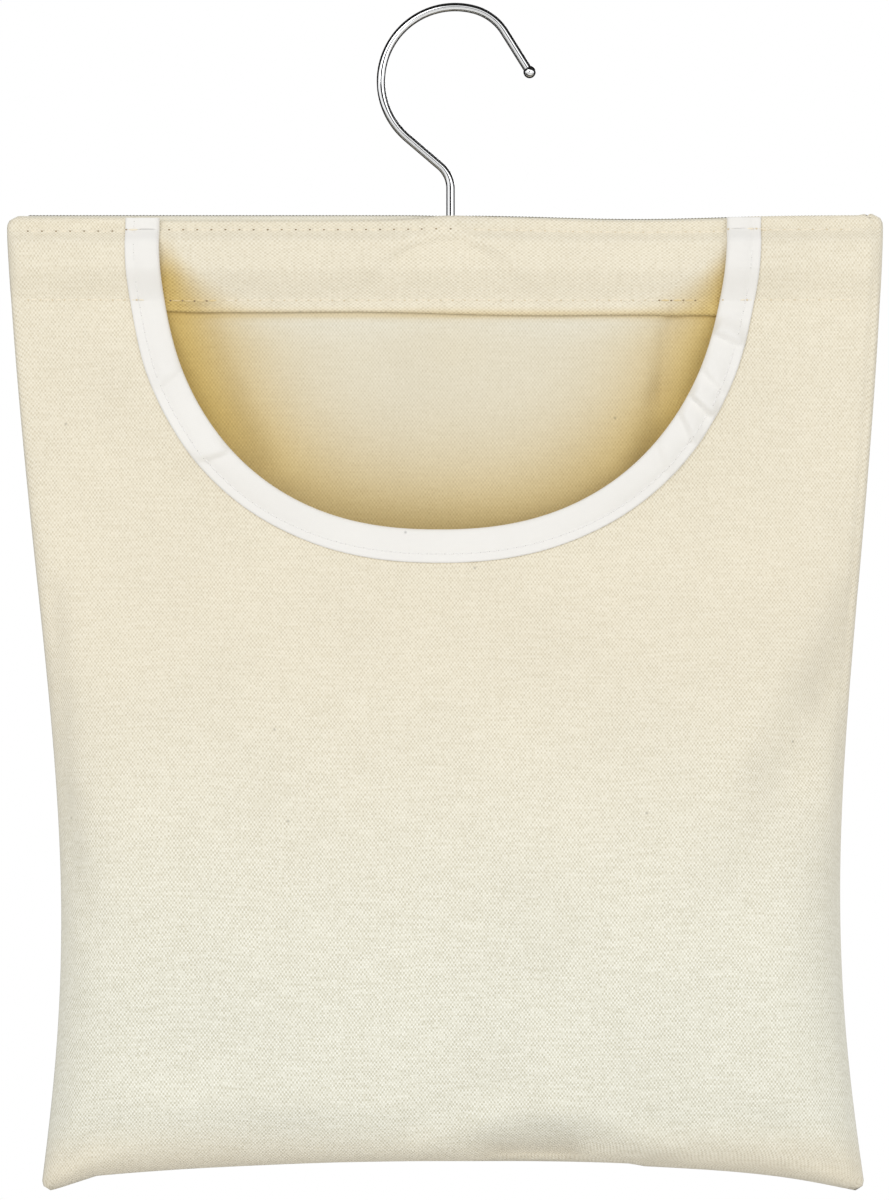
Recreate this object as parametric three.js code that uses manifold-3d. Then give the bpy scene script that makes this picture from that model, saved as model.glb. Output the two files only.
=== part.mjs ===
// Peg bag: a canvas pouch with a scooped, taped mouth. A wooden bar in the sleeve along its top
// spreads it, and a wire hook that swivels in the bar hangs it from a washing line.
// Millimetres, +Z up, the mouth faces -Y. The origin is the seat inside the top of the hook,
// on the axis that the hook swivels about.

import * as THREE from "three";
import { mergeVertices } from "three/addons/utils/BufferGeometryUtils.js";
import Module from "manifold-3d";

const wasm = await Module();
wasm.setup();

// Driving dimensions, in millimetres and degrees

// Between two pieces that touch, are sewn together or turn on each other
const CLEARANCE = 0.3;

// Pouch: two canvas panels sewn together at the sides and the bottom
const BAG_WIDTH = 343;
const BAG_HEIGHT = 381;
const BOTTOM_WIDTH = 322;
const CANVAS = 1;
const CORNER_RADIUS = 5;
const SEAM_TURN = 5;
const FRONT_BELLY = 42;
const BACK_BELLY = 34;
const BELLY_LOW_SHARE = 0.66;
const WAIST_DRAW_IN = 12;
const BOTTOM_RISE = 11;

// Mouth: a scoop out of the front panel, bound with a folded tape
const MOUTH_WIDTH = 222;
const MOUTH_DEPTH = 123;
const TAPE = 0.6;
const TAPE_WIDTH = 13;

// Sleeve: the casing strip and the back panel, closed above and below the bar by rows of stitching
const TOP_SEAM = 5;
const SLEEVE_SLOPE = 40;
const SLEEVE_TAPER = 5.7;
const CASING_HEM = 3.8;
const SHANK_PARTING = 9;

// Bar: a slat with round edges
const BAR_HEIGHT = 18;
const BAR_THICKNESS = 9;
const BAR_END_ROUND = 2;

// Hook: one length of wire, bent in a plane, riveted over a washer under the bar
const WIRE = 3.4;
const HOOK_RADIUS = 29;
const HOOK_OFFSET = 1.8;
const NOSE_RADIUS = 20;
const NOSE_START = 75;
const NOSE_END = 32;
const TAIL_LENGTH = 18.5;
const TIP_BALL = 5;
const NECK_SLOPE = 40.5;
const NECK_BEND_RADIUS = 11.7;
const SHANK_SHOWN = 10.7;
const RIVET_HEAD = 5.4;
const RIVET_HEIGHT = 2;
const WASHER = 7;
const WASHER_THICKNESS = 1;
const WASHER_SEAT = 2.4;

// How finely the curves are cut
const PANEL_COLUMNS = 9;
const BELLY_ROWS = 16;
const MOUTH_POINTS = 40;
const ROUND_SIDES = 24;
const WIRE_SIDES = 10;
const WIRE_STEPS = 60;
const BAR_END_STEPS = 3;
const SEAM_STEP = 0.25;
const CORNER_STEP = 0.3;

// How the belly and the bottom seam are rounded, as powers of the share across or down
const BELLY_ACROSS_POWER = 3;
const BELLY_EDGE_POWER = 0.75;
const BELLY_DOWN_POWER = 0.7;
const BOTTOM_SWEEP_POWER = 3.5;
const MOUTH_POWER = 2.3;

// A cutting tool stands out this far past what it cuts
const CUT_MARGIN = 1;
const MERGE_DISTANCE = 1e-4;

const radians = THREE.MathUtils.degToRad;

// Materials

const CANVAS_CLOTH = { color: 0xebe3cf, roughness: 0.9 };
const COTTON_TAPE = { color: 0xf1f0ec, roughness: 0.8 };
const PLATED_STEEL = { color: 0xc4c6c8, roughness: 0.25, metalness: 1 };
const PLAIN_WOOD = { color: 0xcfae7f, roughness: 0.6 };

// Solids: closed meshes that can be cut and joined

function solid(geometry) {
  const bare = geometry.clone();
  bare.deleteAttribute("normal");
  bare.deleteAttribute("uv");
  const merged = mergeVertices(bare, MERGE_DISTANCE);
  const vertProperties = new Float32Array(merged.attributes.position.array);
  const triVerts = new Uint32Array(merged.index.array);
  return new wasm.Manifold(new wasm.Mesh({ numProp: 3, vertProperties, triVerts }));
}

function node(name, shape, finish) {
  const { vertProperties, triVerts } = shape.getMesh();
  const geometry = new THREE.BufferGeometry();
  geometry.setAttribute("position", new THREE.BufferAttribute(vertProperties, 3));
  geometry.setIndex(new THREE.BufferAttribute(triVerts, 1));
  const flatShaded = geometry.toNonIndexed();
  flatShaded.computeVertexNormals();
  const mesh = new THREE.Mesh(flatShaded, new THREE.MeshStandardMaterial(finish));
  mesh.name = name;
  return mesh;
}

// An upright cylinder about the swivel axis, between two heights
function upright(diameter, low, high) {
  const geometry = new THREE.CylinderGeometry(diameter / 2, diameter / 2, high - low, ROUND_SIDES);
  return solid(geometry.rotateX(Math.PI / 2).translate(0, 0, (low + high) / 2));
}

// Sleeve: a profile of [distance below the top edge, distance from the middle of the bar]

const barRoom = BAR_THICKNESS / 2 + CLEARANCE;
const slope = radians(SLEEVE_SLOPE);
const slopeStart = TOP_SEAM;
const slopeEnd = slopeStart + (barRoom - CLEARANCE / 2) / Math.tan(slope);

// The bar's round top edge touches both slopes, less the clearance.
const barCentreTop = slopeStart + (barRoom - (CLEARANCE / 2) * Math.cos(slope)) / Math.sin(slope);
const barTop = barCentreTop - BAR_THICKNESS / 2;
const barBottom = barTop + BAR_HEIGHT;
const seatHeight = barBottom - WASHER_SEAT;
const washerTop = seatHeight + CLEARANCE;
const rivetTop = washerTop + WASHER_THICKNESS + CLEARANCE;
const rivetBottom = rivetTop + RIVET_HEIGHT;
const sleeveEnd = Math.max(barBottom, rivetBottom) + CLEARANCE;
const casingRow = sleeveEnd + SLEEVE_TAPER;
const casingDepth = casingRow + CASING_HEM;

const sleeveProfile = [
  [0, CLEARANCE / 2],
  [slopeStart, CLEARANCE / 2],
  [slopeEnd, barRoom],
  [sleeveEnd, barRoom],
  [casingRow, CLEARANCE / 2],
  [casingDepth, CLEARANCE / 2],
];

// The same profile at a distance outside the first, as one layer of cloth lies on another
function layerOver(profile, distance) {
  const lean = (a, b) => Math.atan2(b[1] - a[1], b[0] - a[0]);
  const leans = profile.slice(1).map((point, i) => lean(profile[i], point));
  return profile.map(([down, out], i) => {
    const before = leans[Math.max(i - 1, 0)];
    const after = leans[Math.min(i, leans.length - 1)];
    const middle = (before + after) / 2;
    const reach = distance / Math.cos((after - before) / 2);
    return [down - reach * Math.sin(middle), out + reach * Math.cos(middle)];
  });
}

// How far out a profile is at a distance below the top edge; it runs on straight past its end
function alongProfile(profile, down) {
  const next = profile.findIndex((point) => point[0] >= down);
  if (next === -1) return profile[profile.length - 1][1];
  if (next === 0) return profile[0][1];
  const [a, b] = [profile[next - 1], profile[next]];
  return THREE.MathUtils.mapLinear(down, a[0], b[0], a[1], b[1]);
}

// The layers part round the hook's shank where it comes out of the top seam
const shankRoom = WIRE / 2 + CLEARANCE;
const partingFlat = 2 * shankRoom;
const partingEnd = partingFlat + SHANK_PARTING;

function parting(across) {
  const share = THREE.MathUtils.mapLinear(Math.abs(across), partingFlat, partingEnd, 1, 0);
  return shankRoom * THREE.MathUtils.clamp(share, 0, 1);
}

// Panels: the inside face of each, by its share across (-1 to 1) and its distance down

const innerHalfWidth = BAG_WIDTH / 2 - CANVAS;
const innerBottomHalfWidth = BOTTOM_WIDTH / 2 - CANVAS;
const innerHeight = BAG_HEIGHT - CANVAS;
const bellySkew = Math.log(0.5) / Math.log(BELLY_LOW_SHARE);

// The swell that fills the pouch below a starting height: nothing there and at the bottom seam
function swell(down, start) {
  const share = THREE.MathUtils.clamp((down - start) / (innerHeight - start), 0, 1);
  return Math.sin(Math.PI * share ** bellySkew);
}

function halfWidth(down) {
  const corner = CORNER_RADIUS - Math.min(down, CORNER_RADIUS);
  const rounding = CORNER_RADIUS - Math.sqrt(CORNER_RADIUS ** 2 - corner ** 2);
  const taper = THREE.MathUtils.lerp(innerHalfWidth, innerBottomHalfWidth, down / innerHeight);
  return taper - rounding - WAIST_DRAW_IN * swell(down, 0);
}

// Quarter round from a seam to the full depth of the panel
function seamRound(distance) {
  const short = 1 - Math.min(distance / SEAM_TURN, 1);
  return Math.sqrt(1 - short ** 2);
}

function panelPoint(share, down, depthAt, belly, bellyStart) {
  const half = halfWidth(down);
  const across = share * half;
  const seams = seamRound((1 - Math.abs(share)) * half) * seamRound(innerHeight - down);
  const crown = (1 - Math.abs(share) ** BELLY_ACROSS_POWER) ** BELLY_EDGE_POWER;
  const puff = belly * crown * Math.max(swell(down, bellyStart), 0) ** BELLY_DOWN_POWER;
  const depth = CLEARANCE / 2 + seams * (depthAt(across, down) - CLEARANCE / 2) + puff;
  const lower = THREE.MathUtils.smoothstep(down, innerHeight / 2, innerHeight);
  const lift = BOTTOM_RISE * (1 - Math.abs(share) ** BOTTOM_SWEEP_POWER) * lower;
  return new THREE.Vector3(across, depth, lift - down);
}

const backDepth = (across, down) => Math.max(
  alongProfile(sleeveProfile, down),
  down < slopeEnd ? CLEARANCE / 2 + parting(across) : 0,
);

// The front panel lies over the casing strip and the tape, and both rows of stitching hold it there.
const frontLayer = layerOver(sleeveProfile, CANVAS + TAPE + 2 * CLEARANCE);
const frontDepth = (across, down) => alongProfile(frontLayer, down);

const backFace = (share, down) => panelPoint(share, down, backDepth, BACK_BELLY, casingRow);
const frontFace = (share, down) => {
  const point = panelPoint(share, down, frontDepth, FRONT_BELLY, casingRow);
  return point.setY(-point.y);
};

// The casing strip lies over the bar's front and is sewn flat to the back panel below it.
const casingFace = (share, down) => {
  const across = share * (halfWidth(down) - SEAM_TURN - CLEARANCE);
  const below = backFace(across / halfWidth(down), down).y - CLEARANCE;
  return new THREE.Vector3(across, down > casingRow ? below : -backDepth(across, down), -down);
};

// Sheets: a face sampled at shares across and distances down, and thickened outwards

const evenly = (from, to, count) => Array.from({ length: count }, (_, i) => from + ((to - from) * i) / count);

const seamSteps = [SEAM_STEP * SEAM_TURN, 0];
const columnsOneSide = [
  0,
  partingFlat,
  ...evenly(partingEnd, innerHalfWidth - SEAM_TURN, PANEL_COLUMNS),
  innerHalfWidth - SEAM_TURN,
  ...seamSteps.map((step) => innerHalfWidth - step),
].map((across) => across / innerHalfWidth);
const columns = [...columnsOneSide.slice(1).reverse().map((share) => -share), ...columnsOneSide];

const cornerRows = [0, CORNER_STEP * CORNER_RADIUS];
const bellyRows = [
  ...evenly(casingDepth, innerHeight - SEAM_TURN, BELLY_ROWS),
  innerHeight - SEAM_TURN,
  ...seamSteps.map((step) => innerHeight - step),
];
const profileRows = (profile) => profile.slice(1).map((point) => point[0]);
const inOrder = (rows) => [...new Set(rows)].sort((a, b) => a - b);
const backRows = inOrder([...cornerRows, ...profileRows(sleeveProfile), ...bellyRows]);
const frontRows = inOrder([...cornerRows, ...profileRows(frontLayer), ...bellyRows]);
const casingRows = inOrder([...cornerRows, ...profileRows(sleeveProfile)]);

// A sewn edge thickens in the plane of the seam, so that the two panels meet face to face.
function outward(face, rows, i, j, outside, sewn) {
  const side = j === 0 ? -1 : j === columns.length - 1 ? 1 : 0;
  const foot = i === rows.length - 1 ? -1 : 0;
  if (sewn && (side || foot)) return new THREE.Vector3(side, 0, foot);
  const [up, low] = [rows[Math.max(i - 1, 0)], rows[Math.min(i + 1, rows.length - 1)]];
  const [left, right] = [columns[Math.max(j - 1, 0)], columns[Math.min(j + 1, columns.length - 1)]];
  const downwards = face(columns[j], low).sub(face(columns[j], up));
  const sideways = face(right, rows[i]).sub(face(left, rows[i]));
  const normal = sideways.cross(downwards).normalize();
  return normal.multiplyScalar(Math.sign(normal.y) === outside ? 1 : -1);
}

// The body between two distances outside a face. outside is the sign of Y that the face looks to.
function sheet(face, rows, outside, from, to, sewn = true) {
  const points = [];
  for (const distance of [from, to]) {
    rows.forEach((down, i) => columns.forEach((share, j) => {
      const way = outward(face, rows, i, j, outside, sewn);
      points.push(...face(share, down).addScaledVector(way, distance));
    }));
  }
  const wide = columns.length;
  const layer = rows.length * wide;
  const at = (level, i, j) => level * layer + i * wide + j;
  const triangles = [];
  const quad = (a, b, c, d) => triangles.push(a, b, c, a, c, d);
  for (let i = 0; i + 1 < rows.length; i++) {
    for (let j = 0; j + 1 < wide; j++) {
      quad(at(1, i, j), at(1, i + 1, j), at(1, i + 1, j + 1), at(1, i, j + 1));
      quad(at(0, i, j), at(0, i, j + 1), at(0, i + 1, j + 1), at(0, i + 1, j));
    }
    quad(at(0, i, 0), at(0, i + 1, 0), at(1, i + 1, 0), at(1, i, 0));
    quad(at(1, i, wide - 1), at(1, i + 1, wide - 1), at(0, i + 1, wide - 1), at(0, i, wide - 1));
  }
  const end = rows.length - 1;
  for (let j = 0; j + 1 < wide; j++) {
    quad(at(0, 0, j), at(1, 0, j), at(1, 0, j + 1), at(0, 0, j + 1));
    quad(at(1, end, j), at(0, end, j), at(0, end, j + 1), at(1, end, j + 1));
  }
  if (outside > 0) triangles.reverse();
  const geometry = new THREE.BufferGeometry();
  geometry.setAttribute("position", new THREE.Float32BufferAttribute(points, 3));
  geometry.setIndex(triangles);
  return solid(geometry);
}

// Mouth: everything inside a scoop of the front, grown by a distance

function mouthRegion(grow) {
  const outline = new THREE.Shape();
  const wide = MOUTH_WIDTH / 2 + grow;
  const deep = MOUTH_DEPTH + grow;
  const power = 2 / MOUTH_POWER;
  outline.moveTo(wide, CORNER_RADIUS);
  for (let i = 0; i <= MOUTH_POINTS; i++) {
    const turn = (Math.PI * i) / MOUTH_POINTS;
    const across = Math.sign(Math.cos(turn)) * Math.abs(Math.cos(turn)) ** power;
    outline.lineTo(wide * across, -deep * Math.sin(turn) ** power);
  }
  outline.lineTo(-wide, CORNER_RADIUS);
  const depth = 2 * (FRONT_BELLY + BAR_THICKNESS);
  const geometry = new THREE.ExtrudeGeometry(outline, { depth, bevelEnabled: false });
  return solid(geometry.rotateX(Math.PI / 2));
}

// Pieces of the pouch, with the top edge at height 0

const frontPanel = sheet(frontFace, frontRows, -1, 0, CANVAS).subtract(mouthRegion(TAPE + CLEARANCE));

const tapeReach = CLEARANCE + TAPE;
const foldedTape = sheet(frontFace, frontRows, -1, -tapeReach, CANVAS + tapeReach);
const insideTape = sheet(frontFace, frontRows, -1, -CLEARANCE, CANVAS + CLEARANCE);
const mouthBinding = foldedTape
  .intersect(mouthRegion(TAPE_WIDTH).subtract(mouthRegion(0)))
  .subtract(insideTape.subtract(mouthRegion(TAPE)));

const backPanel = sheet(backFace, backRows, 1, 0, CANVAS);
const casingStrip = sheet(casingFace, casingRows, -1, 0, CANVAS, false);

// Bar, washer and hook

function barShape() {
  const radius = BAR_THICKNESS / 2;
  const section = new THREE.Shape();
  section.absarc(0, -barCentreTop, radius, 0, Math.PI);
  section.absarc(0, radius - barBottom, radius, Math.PI, 2 * Math.PI);
  const length = BAG_WIDTH - 2 * (CANVAS + SEAM_TURN + CLEARANCE);
  const geometry = new THREE.ExtrudeGeometry(section, {
    depth: length - 2 * BAR_END_ROUND,
    bevelThickness: BAR_END_ROUND,
    bevelSize: BAR_END_ROUND,
    bevelOffset: -BAR_END_ROUND,
    bevelSegments: BAR_END_STEPS,
    curveSegments: ROUND_SIDES / 4,
  });
  geometry.translate(0, 0, BAR_END_ROUND - length / 2);
  const lying = new THREE.Matrix4().makeBasis(
    new THREE.Vector3(0, 1, 0),
    new THREE.Vector3(0, 0, 1),
    new THREE.Vector3(1, 0, 0),
  );
  const hole = upright(WIRE + 2 * CLEARANCE, -barBottom - CUT_MARGIN, CUT_MARGIN - barTop);
  const seat = upright(WASHER + 2 * CLEARANCE, -barBottom - CUT_MARGIN, -seatHeight);
  return solid(geometry.applyMatrix4(lying)).subtract(hole).subtract(seat);
}

function washerShape() {
  const [low, high] = [-washerTop - WASHER_THICKNESS, -washerTop];
  const hole = upright(WIRE + 2 * CLEARANCE, low - CUT_MARGIN, high + CUT_MARGIN);
  return upright(WASHER, low, high).subtract(hole);
}

// The middle of the wire in the plane of the hook, from the rivet head to the tip
class PlaneCurve extends THREE.Curve {
  constructor(path) {
    super();
    this.path = path;
  }

  getPoint(t) {
    const { x, y } = this.path.getPoint(t);
    return new THREE.Vector3(x, 0, y);
  }
}

const neck = radians(NECK_SLOPE);
const hookCentre = new THREE.Vector2(HOOK_OFFSET, WIRE / 2 - HOOK_RADIUS);
const arcEnd = 1.5 * Math.PI - neck;
const neckTop = new THREE.Vector2(Math.cos(arcEnd), Math.sin(arcEnd))
  .multiplyScalar(HOOK_RADIUS)
  .add(hookCentre);
const neckFoot = neckTop.y + neckTop.x * Math.tan(neck);
const bendTangent = NECK_BEND_RADIUS * Math.tan((Math.PI / 2 - neck) / 2);
const bendFoot = neckFoot - bendTangent;
const bagTop = bendFoot - SHANK_SHOWN;

function hookPath() {
  const [start, end] = [radians(NOSE_START), radians(NOSE_END)];
  const noseCentre = new THREE.Vector2(Math.cos(start), Math.sin(start))
    .multiplyScalar(HOOK_RADIUS - NOSE_RADIUS)
    .add(hookCentre);
  const path = new THREE.Path();
  path.moveTo(0, bagTop - rivetTop);
  path.lineTo(0, bendFoot);
  path.absarc(-NECK_BEND_RADIUS, bendFoot, NECK_BEND_RADIUS, 0, Math.PI / 2 - neck);
  path.lineTo(neckTop.x, neckTop.y);
  path.absarc(hookCentre.x, hookCentre.y, HOOK_RADIUS, arcEnd, start, true);
  path.absarc(noseCentre.x, noseCentre.y, NOSE_RADIUS, start, end, true);
  const last = path.currentPoint;
  path.lineTo(last.x + TAIL_LENGTH * Math.sin(end), last.y - TAIL_LENGTH * Math.cos(end));
  return path;
}

function hookShape() {
  const path = hookPath();
  const section = new THREE.Shape().absarc(0, 0, WIRE / 2, 0, 2 * Math.PI);
  const wire = new THREE.ExtrudeGeometry(section, {
    steps: WIRE_STEPS,
    curveSegments: WIRE_SIDES / 2,
    extrudePath: new PlaneCurve(path),
  });
  const tip = path.getPoint(1);
  const ball = new THREE.SphereGeometry(TIP_BALL / 2, WIRE_SIDES, WIRE_SIDES).translate(tip.x, 0, tip.y);
  const dome = [];
  for (let i = 0; i <= WIRE_SIDES / 2; i++) {
    const turn = (Math.PI * i) / WIRE_SIDES;
    dome.push(new THREE.Vector2((RIVET_HEAD / 2) * Math.sin(turn), -RIVET_HEIGHT * Math.cos(turn)));
  }
  const head = new THREE.LatheGeometry([...dome, new THREE.Vector2(0, 0)], ROUND_SIDES)
    .rotateX(Math.PI / 2)
    .translate(0, 0, bagTop - rivetTop);
  return solid(wire).add(solid(ball)).add(solid(head));
}

// Assembly

const pouch = new THREE.Group();
pouch.position.z = bagTop;
pouch.add(
  node("front_panel", frontPanel, CANVAS_CLOTH),
  node("back_panel", backPanel, CANVAS_CLOTH),
  node("casing_strip", casingStrip, CANVAS_CLOTH),
  node("mouth_binding", mouthBinding, COTTON_TAPE),
  node("hanger_bar", barShape(), PLAIN_WOOD),
  node("hook_washer", washerShape(), PLATED_STEEL),
);

const pegBag = new THREE.Group();
pegBag.add(node("hook", hookShape(), PLATED_STEEL), pouch);

export default pegBag;
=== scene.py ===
# %% [markdown]
# # A canvas peg bag, dressed for its portrait
#
# A peg bag is a sewn pouch on a coat-hanger bar with a swivelling hook. The bar and the washer stay as
# they were packed and get their finish here. The hook is bent from wire, and the cloth is sewn. The
# frame is loaded first, because everything else takes its place from it.

# %% Load the frame
import math

import bmesh
import bpy
from mathutils import Matrix, Vector, noise


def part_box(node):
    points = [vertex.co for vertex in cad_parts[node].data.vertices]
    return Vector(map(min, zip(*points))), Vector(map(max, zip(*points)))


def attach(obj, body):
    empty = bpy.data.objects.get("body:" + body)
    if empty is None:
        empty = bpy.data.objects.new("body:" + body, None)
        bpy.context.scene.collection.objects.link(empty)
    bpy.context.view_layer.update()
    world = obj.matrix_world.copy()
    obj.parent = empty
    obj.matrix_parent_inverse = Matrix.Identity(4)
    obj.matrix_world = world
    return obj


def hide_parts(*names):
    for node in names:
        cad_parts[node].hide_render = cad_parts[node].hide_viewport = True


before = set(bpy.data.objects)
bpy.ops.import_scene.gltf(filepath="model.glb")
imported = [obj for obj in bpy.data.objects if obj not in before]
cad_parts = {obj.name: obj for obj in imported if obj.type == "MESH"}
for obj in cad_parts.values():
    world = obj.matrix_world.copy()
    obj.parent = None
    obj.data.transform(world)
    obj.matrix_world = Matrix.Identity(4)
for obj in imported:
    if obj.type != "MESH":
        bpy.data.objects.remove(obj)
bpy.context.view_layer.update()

MM = 0.001
print("nodes:", sorted(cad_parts))

# %% [markdown]
# ## The camera
#
# The photograph was taken square on and from far away, and a long lens does the same here. One pixel of
# it is a known size on the bag, and the frame's origin, the seat of the hook, is at a known pixel, so the
# aim and the distance follow from those.

# %% Camera
PHOTO_WIDE = 889
PHOTO_HIGH = 1200
PHOTO_PIXEL = 0.391 * MM
SEAT_PIXEL_X = 450.5
SEAT_PIXEL_Y = 11.45
LENS = 135
SENSOR = 36
UPRIGHT = math.radians(90)

lens = bpy.data.cameras.new("portrait_lens")
lens.lens = LENS
lens.sensor_width = SENSOR
camera = bpy.data.objects.new("portrait_camera", lens)
camera_distance = PHOTO_HIGH * PHOTO_PIXEL * LENS / SENSOR
camera.location = (
    (PHOTO_WIDE / 2 - SEAT_PIXEL_X) * PHOTO_PIXEL,
    -camera_distance,
    (SEAT_PIXEL_Y - PHOTO_HIGH / 2) * PHOTO_PIXEL,
)
camera.rotation_euler = (UPRIGHT, 0, 0)
scene = bpy.context.scene
scene.collection.objects.link(camera)
scene.camera = camera
print("camera distance in m:", round(camera_distance, 3))

# %% [markdown]
# ## Helpers for shapes
#
# One function puts a finished bmesh into the scene. The others are soft steps and humps, which the
# forms of the cloth are written with.

# %% Shape helpers
def new_object(name, mesh, *materials):
    """Puts a finished bmesh into the scene as a smooth object."""
    data = bpy.data.meshes.new(name)
    mesh.to_mesh(data)
    mesh.free()
    data.polygons.foreach_set("use_smooth", [True] * len(data.polygons))
    for material in materials:
        data.materials.append(material)
    made = bpy.data.objects.new(name, data)
    scene.collection.objects.link(made)
    print(name, "has", len(data.vertices), "vertices and", len(data.polygons), "faces")
    return made


def clamp(share, low=0.0):
    return min(max(share, low), 1.0)


def lerp(start, end, share):
    return start + (end - start) * share


def ease(share):
    """From 0 to 1 with a soft start and a soft end."""
    share = clamp(share)
    return share * share * (3 - 2 * share)


def rising(place, start, length):
    """A soft step from 0 at its start to 1 a length further on."""
    return ease((place - start) / length)


def hump(place, middle, width):
    """A soft hump, 1 at its middle and almost nothing beyond its width."""
    return math.exp(-(((place - middle) / width) ** 2) * 3)


# %% [markdown]
# ## Helpers for materials
#
# Colours are given in sRGB, and Blender's shaders work in linear light, so one function turns a
# hex colour into the numbers that a socket takes. Another adds a node with its settings, and sets or
# links its inputs. The rest are short forms of it for what comes back most often.

# %% Material helpers
NOISE_SPAN = (0.3, 0.7)


def linear(colour):
    """An sRGB hex colour as the linear RGBA that Blender's sockets take."""
    shares = [int(colour[i : i + 2], 16) / 255 for i in (1, 3, 5)]
    return [s / 12.92 if s <= 0.04045 else ((s + 0.055) / 1.055) ** 2.4 for s in shares] + [1.0]


def add_node(tree, kind, inputs=None, **settings):
    """Adds a shader node with its settings, and sets each input or links it to a node's output."""
    node = tree.nodes.new("ShaderNode" + kind)
    for name, value in settings.items():
        setattr(node, name, value)
    for socket, value in (inputs or {}).items():
        if isinstance(value, bpy.types.NodeSocket):
            tree.links.new(value, node.inputs[socket])
        else:
            node.inputs[socket].default_value = value
    return node


def maths(tree, operation, *values, kind="Math"):
    """An operation on numbers."""
    return add_node(tree, kind, dict(enumerate(values)), operation=operation).outputs[0]


def vectors(tree, operation, *values):
    """An operation on vectors or colours."""
    return maths(tree, operation, *values, kind="VectorMath")


def ranged(tree, value, low, high, to_low=0.0, to_high=1.0, **settings):
    """A value moved from one range to another, and held at its ends."""
    ends = {"From Min": low, "From Max": high, "To Min": to_low, "To Max": to_high}
    return add_node(tree, "MapRange", {"Value": value, **ends}, **settings).outputs[0]


def mixed(tree, share, *colours):
    """A colour between two, each of which is a hex colour or another node's output."""
    first, last = (linear(colour) if isinstance(colour, str) else colour for colour in colours)
    return add_node(tree, "Mix", {0: share, 6: first, 7: last}, data_type="RGBA").outputs[2]


def cloudy(tree, place, scale, detail):
    """Noise, which mostly lies within NOISE_SPAN."""
    inputs = {"Vector": place, "Scale": scale, "Detail": detail}
    return add_node(tree, "TexNoise", inputs).outputs[0]


def new_material(name):
    """A material with nothing in it, and its nodes."""
    material = bpy.data.materials.new(name)
    material.use_nodes = True
    material.node_tree.nodes.clear()
    return material, material.node_tree


def coat(tree, colour, rough, more=None):
    """Finishes a material with one surface, and more of its inputs by name."""
    inputs = {"Base Color": colour, "Roughness": rough, **(more or {})}
    surface = add_node(tree, "BsdfPrincipled", inputs)
    add_node(tree, "OutputMaterial", {"Surface": surface.outputs[0]})


# %% [markdown]
# ## The stage
#
# The bag hangs in plain soft light over a round, pale floor. The background is white for the camera and
# in reflections, and dimmer as a light, so that white behind the bag puts no extra light on it.

# %% World and floor
FLOOR_DROP = 1.2
FLOOR_REACH = 5.0
FLOOR_SIDES = 64
AMBIENT = 0.64

scene.view_settings.view_transform = "Standard"
world = bpy.data.worlds.new("white_studio")
world.use_nodes = True
sky = world.node_tree
sky.nodes.clear()
ray = add_node(sky, "LightPath").outputs
seen = maths(sky, "MAXIMUM", ray["Is Camera Ray"], ray["Is Glossy Ray"])
shown = maths(sky, "MAXIMUM", seen, ray["Is Transmission Ray"])
level = ranged(sky, shown, 0, 1, AMBIENT, 1)
backdrop = add_node(sky, "Background", {"Color": linear("#FFFFFF"), "Strength": level})
add_node(sky, "OutputWorld", {"Surface": backdrop.outputs[0]})
scene.world = world

floor_paint, tree = new_material("pale_floor_paint")
speckle = add_node(tree, "TexNoise", {"Scale": 9.0, "Detail": 4.0}).outputs[0]
coat(tree, mixed(tree, speckle, "#F2F1EE", "#F8F7F5"), 0.9)

slab = bmesh.new()
bmesh.ops.create_circle(slab, cap_ends=True, segments=FLOOR_SIDES, radius=FLOOR_REACH,
                        matrix=Matrix.Translation((0, 0, -FLOOR_DROP)))
floor = new_object("floor", slab, floor_paint)

# %% [markdown]
# Two large lamps in front light the bag from its left and its right. A third one behind it, which the
# camera doesn't see, lights the back for those who walk round it.

# %% Lamps
BAG_MIDDLE = Vector((0, 0, -0.25))


def soft_lamp(name, place, size, power):
    """A square area lamp that looks from its place at the middle of the bag."""
    lamp = bpy.data.lights.new(name, "AREA")
    lamp.shape = "SQUARE"
    lamp.size = size
    lamp.energy = power
    lit = bpy.data.objects.new(name, lamp)
    lit.location = place
    lit.rotation_euler = (BAG_MIDDLE - Vector(place)).to_track_quat("-Z", "Y").to_euler()
    scene.collection.objects.link(lit)
    print(name, "gives", power, "W")
    return lit


soft_lamp("key_softbox", (-0.8, -1.8, 0.75), size=1.2, power=13)
soft_lamp("fill_softbox", (1.0, -1.9, 0.05), size=1.3, power=8.5)
rear_lamp = soft_lamp("rear_softbox", (0.9, 1.8, 0.75), size=1.2, power=11)
rear_lamp.visible_camera = False

# %% [markdown]
# ## Dark cards
#
# The bright wire would vanish against all that white, so dark cards stand round the set and by the
# lens, where only reflections see them. A narrow flag under the bag does the opposite: it is left out of
# reflections, and keeps some light off the bottom seam.

# %% Dark cards for the chrome
CARD_BACK = 0.5
CARD_HOLE = 0.26
CARD_REACH = 1.1
CARD_SIDES = 32
WALL_ASIDE = 0.5
WALL_ABOVE = 1.5
WALL_BELOW = 0.45
WALL_LOW_LEFT = 0.35
LENS_CARD_WIDE = 1.4
LENS_CARD_HIGH = 0.45
LENS_CARD_RISE = 0.25
FLAG_WIDE = 0.3
FLAG_DEEP = 0.045
FLAG_DROP = 0.55

card_felt, tree = new_material("black_felt_card")
pile = add_node(tree, "TexNoise", {"Scale": 300.0}).outputs[0]
coat(tree, mixed(tree, pile, "#101010", "#1C1C1C"), 1.0)


def wall_length(aside, up):
    """How far a card's wall comes forward, by its direction from the middle: long above, short aside."""
    low_left = max(-(aside + up) / math.sqrt(2), 0) ** 4
    return WALL_ASIDE + WALL_ABOVE * max(up, 0) + WALL_BELOW * max(-up, 0) + WALL_LOW_LEFT * low_left


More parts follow.
